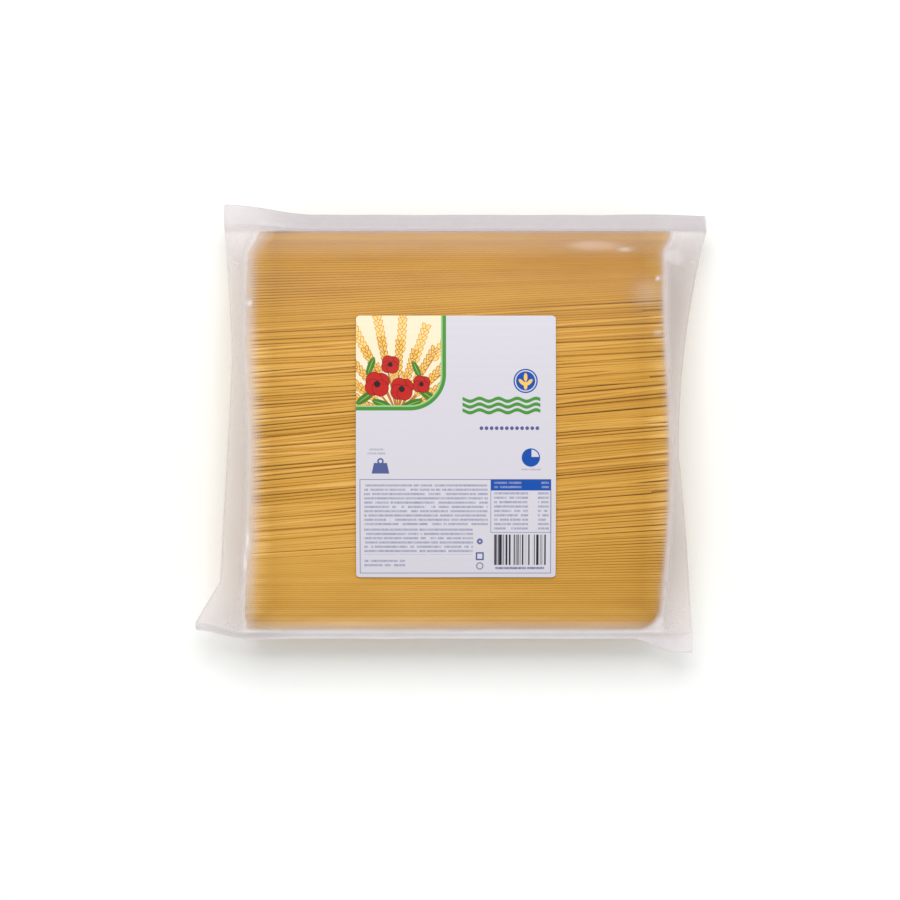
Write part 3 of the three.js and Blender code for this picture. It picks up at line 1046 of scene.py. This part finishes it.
class Print:  # the printed label: a base colour on which inks are laid one after another
    def __init__(self, bench, base):
        self.bench = bench
        self.place = bench.position()
        midX, midY = packet["labelMiddle"]
        shift = (-(midX + layoutShift[0] / mm), -(midY + layoutShift[1] / mm), 0)
        centred = bench.add("ShaderNodeMapping", None, {"Vector": self.place, "Location": shift})
        self.x, self.y, _ = bench.split(centred)
        self.plane = bench.join(self.x, self.y)
        self.colour = base
        self.edge = 0.16

    def mask(self, inside):
        # inside is a distance in millimetres from the shape's edge, positive inside it
        return (inside / self.edge + 0.5).clamped()

    def box(self, left, right, low, high):
        acrossX = (right - left) / 2 - abs(self.x - (left + right) / 2)
        acrossY = (high - low) / 2 - abs(self.y - (low + high) / 2)
        return acrossX.combine("MINIMUM", acrossY)

    def radius(self, x, y):
        inputs = {0: self.plane, 1: (x, y, 0)}
        return self.bench.add("ShaderNodeVectorMath", {"operation": "DISTANCE"}, inputs, "Value")

    def disc(self, x, y, radius):
        return radius - self.radius(x, y)

    def leaf(self, x, y, turn, length, width):
        # an ellipse, turned by some degrees
        cosine, sine = math.cos(math.radians(turn)), math.sin(math.radians(turn))
        right, up = self.x - x, self.y - y
        along = (right * cosine + up * sine) / length
        across = (up * cosine - right * sine) / width
        return (1 - (along * along + across * across) ** 0.5) * width

    def corner(self, right, low, radius):
        # a panel that fills the label's top left corner, with a round corner of its own
        acrossX = (self.x - (right - radius)).combine("MAXIMUM", 0)
        acrossY = ((low + radius) - self.y).combine("MAXIMUM", 0)
        return radius - (acrossX * acrossX + acrossY * acrossY) ** 0.5

    def sheaf(self, x, y, turn, step, near, length):
        # ears of grain that spread from one foot, each a little further out than the next: the stems,
        # the outlines of the grains and the grains
        right, up = self.x - x, self.y - y
        reach = (right * right + up * up) ** 0.5
        cell = (up.combine("ARCTAN2", right) - math.radians(turn)) / math.radians(step)
        number = cell.combine("FLOOR")
        aside = (cell - number - 0.5) * math.radians(step) * reach
        uneven = self.bench.add("ShaderNodeTexWhiteNoise", {"noise_dimensions": "1D"}, {"W": number})
        along = reach - near - uneven * 8
        pitch = length / 7
        within = ((along / pitch).combine("FRACT") - 0.5) * pitch
        across = abs(aside) - pitch * 0.36
        slantCosine, slantSine = math.cos(0.45), math.sin(0.45)
        u = (within * slantCosine + across * slantSine) / (pitch * 0.58)
        v = (across * slantCosine - within * slantSine) / (pitch * 0.3)
        fromMiddle = (u * u + v * v) ** 0.5
        ear = length / 2 - abs(along - length / 2)
        outlines, grains = (
            self.mask(ear.combine("MINIMUM", (size - fromMiddle) * pitch * 0.3)) for size in (1.2, 0.78)
        )
        stems = (0.4 - abs(aside)).combine("MINIMUM", 0 - along)
        return self.mask(stems), outlines, grains

    def ink(self, mask, tint):
        self.colour = self.bench.blend(mask, self.colour, tint)

    def lines(self, left, right, low, high, pitch, tint, seed, strength=0.6, fill=0.5):
        # rows of small print, broken into words and worn thin by a noise
        row = (high - self.y) / pitch
        number = row.combine("FLOOR")
        within = row - number
        words = self.bench.noise(self.bench.join(self.x * 0.33, number * 7.31 + seed), 1.0, 1.0)
        letters = self.bench.noise(self.bench.join(self.x * 1.9, number * 3.17 + seed, within), 1.0, 2.0)
        body = self.mask((fill - abs(within - 0.5) * 2) * pitch / 2)
        gaps = ((words - 0.35) * 30).clamped()
        shape = (0.35 + (letters - 0.3) * 2).clamped()
        self.ink(self.mask(self.box(left, right, low, high)) * body * gaps * shape * strength, tint)


def layPicture(art):
    # a generic harvest picture in a rounded panel: a sheaf of grain behind red poppies and green leaves
    panel = art.corner(-6, 22, 22)
    inside = art.mask(panel - 3.2)
    art.ink(art.mask(panel), label["green"])
    art.ink(art.mask(panel - 2.2), label["paleGreen"])
    art.ink(inside, label["cream"])
    dark, golden, bright = label["straw"]
    for turn, step, near, length in ((4, 15, 33, 25), (11, 14, 19, 22), (2, 17, 9, 17)):
        stems, outlines, grains = art.sheaf(-36, 20, turn, step, near, length)
        art.ink(stems * inside, dark)
        art.ink(outlines * inside, golden if near > 30 else dark)
        art.ink(grains * inside, bright if near < 30 else label["paleStraw"])
    leaves = (
        (-55, 30, 35, 7), (-17, 31, 145, 7), (-45, 26, 160, 6.5),
        (-27, 26, 20, 7), (-52, 49, 70, 6), (-24, 47, 115, 5.5),
    )
    for x, y, turn, length in leaves:
        art.ink(art.mask(art.leaf(x, y, turn, length, length * 0.34)) * inside, label["leaf"][0])
        art.ink(art.mask(art.leaf(x, y, turn, length * 0.8, 0.3)) * inside, label["leaf"][1])
    edge, petalRed, heart = label["poppy"]
    for x, y, size in ((-48, 38, 7.6), (-33, 35, 7.0), (-40, 50, 5.6), (-21, 38, 5.4)):
        for turn in (0.6, 2.2, 3.8, 5.4):
            petalX, petalY = x + math.cos(turn) * size * 0.4, y + math.sin(turn) * size * 0.4
            petal = art.disc(petalX, petalY, size * 0.68)
            art.ink(art.mask(petal), edge)
            art.ink(art.mask(petal - 0.4) * 0.9, petalRed)
        art.ink(art.mask(art.disc(x, y, size * 0.26)), heart)


def layTitle(art):
    # plain shapes where a pack has its names
    art.ink(art.mask(art.disc(42.5, 40, 7.4)), label["blue"])
    art.ink(art.mask(0.35 - abs(art.radius(42.5, 40) - 6.2)), label["white"])
    for x, y, turn in ((42.5, 42.3, 90), (40.2, 39.2, 135), (44.8, 39.2, 45), (42.5, 37.2, 90)):
        art.ink(art.mask(art.leaf(x, y, turn, 2.5, 1.1)), label["straw"][2])
    waveLength = 11.5
    wave = (art.x * (2 * math.pi / waveLength)).combine("SINE") * 0.9
    for y in (21.5, 25, 28.5):
        strand = art.box(4, 51.5, y - 5, y + 5).combine("MINIMUM", 1.05 - abs(art.y - y - wave))
        art.ink(art.mask(strand), label["green"])
    dotPitch, dotRadius = 3.1, 1.15
    right = (((art.x - 14) / dotPitch).combine("FRACT") - 0.5) * dotPitch
    up = art.y - 11.2
    dots = dotRadius - (right * right + up * up) ** 0.5
    art.ink(art.mask(dots) * art.mask(art.box(14, 51.2, 9, 13.4)), label["navy"])
    flanks = 5.4 - (art.y + 16.5) * 0.22 - abs(art.x + 46)
    weight = flanks.combine("MINIMUM", art.box(-54, -38, -16.5, -10))
    art.ink(art.mask(weight), label["navy"])
    art.ink(art.mask(0.5 - abs(art.radius(-46, -9) - 1.5)), label["navy"])
    art.lines(-54, -43, -5.6, -0.6, 2.4, label["grey"], 3)
    timer = art.disc(45.7, -6.7, 5.6)
    art.ink(art.mask(timer), label["blue"])
    quarter = art.box(46.1, 52, -6.3, 0).combine("MINIMUM", timer - 0.7)
    art.ink(art.mask(quarter), label["white"])
    art.lines(40, 52, -15, -13, 2.0, label["grey"], 5)


def laySmallPrint(art):
    frameBox = art.box(-58.5, 57.9, -77.4, -20.1)
    art.ink(art.mask(0.22 - abs(frameBox)) * 0.8, label["navy"])
    art.lines(-56, 19.5, -49.0, -22.4, 2.62, label["navy"], 11)
    art.lines(-56, 10.5, -66.0, -49.4, 2.62, label["navy"], 17)
    art.lines(-56, -31, -74.2, -68.6, 2.62, label["navy"], 23)
    art.ink(art.mask(art.box(21.3, 57.9, -26.8, -20.1)), label["blue"])
    art.lines(23.2, 40, -26.2, -20.8, 2.6, label["white"], 29, 0.4)
    art.lines(52, 56.7, -26.2, -20.8, 2.6, label["white"], 31, 0.4)
    art.lines(23.2, 44, -51.6, -27.2, 2.68, label["navy"], 37)
    art.lines(50, 56.7, -51.6, -27.2, 2.68, label["navy"], 41)
    tableBox = art.box(21.3, 57.9, -52.4, -20.1)
    art.ink(art.mask(0.18 - abs(tableBox)) * 0.8, label["navy"])
    bars = art.bench.noise(art.bench.join(art.x * 1.15, 4.7), 1.0, 1.0)
    stripe = ((bars - 0.5) * 22 + 0.5).clamped()
    art.ink(art.mask(art.box(22.6, 54.9, -72.4, -53.7)) * stripe, label["bars"])
    art.lines(24, 54, -75.8, -72.9, 2.8, label["navy"], 43, 0.9)
    ring = 2.0 - abs(art.radius(14.6, -57.9) - 1.2) * 3
    art.ink(art.mask(ring) * 0.9, label["navy"])
    art.ink(art.mask(0.45 - abs(art.box(12.6, 16.6, -69, -65))), label["navy"])
    art.ink(art.mask(0.4 - abs(art.radius(14.6, -73) - 1.9)), label["grey"])


def labelMaterial():
    bench = Bench("printedLabel")
    art = Print(bench, label["white"])
    layPicture(art)
    layTitle(art)
    laySmallPrint(art)
    grain = bench.noise(art.place, 3.0, 2.0)
    soft = bench.noise(art.place, 0.06, 2.0)
    inputs = {
        "Base Color": art.colour,
        "Roughness": 0.38 + soft * 0.12,
        "Specular IOR Level": 0.2,
        "Normal": bench.bump(grain, 0.05, 0.0002),
    }
    return bench.surface(bench.add("ShaderNodeBsdfPrincipled", None, inputs))


def makeLabel():
    piece = gridSheet("label_print", label["columns"], label["rows"])
    flat = readPoints(piece)
    halfX, halfY = label["width"] / 2, label["height"] / 2
    closer = np.sin(flat[:, 1] * math.pi / 2)
    y = mix(flat[:, 1], closer, 0.5) * halfY  # the rows are closer together at the round corners
    corner = label["corner"]
    into = np.maximum(np.abs(y) - (halfY - corner), 0)
    narrowed = corner - np.sqrt(np.maximum(corner ** 2 - into ** 2, 0))
    x = flat[:, 0] * (halfX - narrowed) + packet["labelMiddle"][0]
    y = y + packet["labelMiddle"][1]
    height = packet["seamHeight"] + bundleRise(y) + label["lift"]
    height += 0.05 * ripple(x, y, 51, 38) + 0.03 * np.sin(y / 0.9 + 0.3 * np.sin(x / 30))
    z = height + np.where(flat[:, 2] > 0, label["thickness"] / 2, -label["thickness"] / 2)
    placePoints(piece, np.stack([x, y, z], axis=1))
    shadeByAngle(piece)
    piece.data.materials.append(labelMaterial())
    return piece


labelPiece = makeLabel()
print("label:", len(labelPiece.data.polygons), "faces")

for piece in (spaghettiPiece, filmPiece, sealPiece):
    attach(piece, "root")
    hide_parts("bag")
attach(labelPiece, "root")
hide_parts("label")
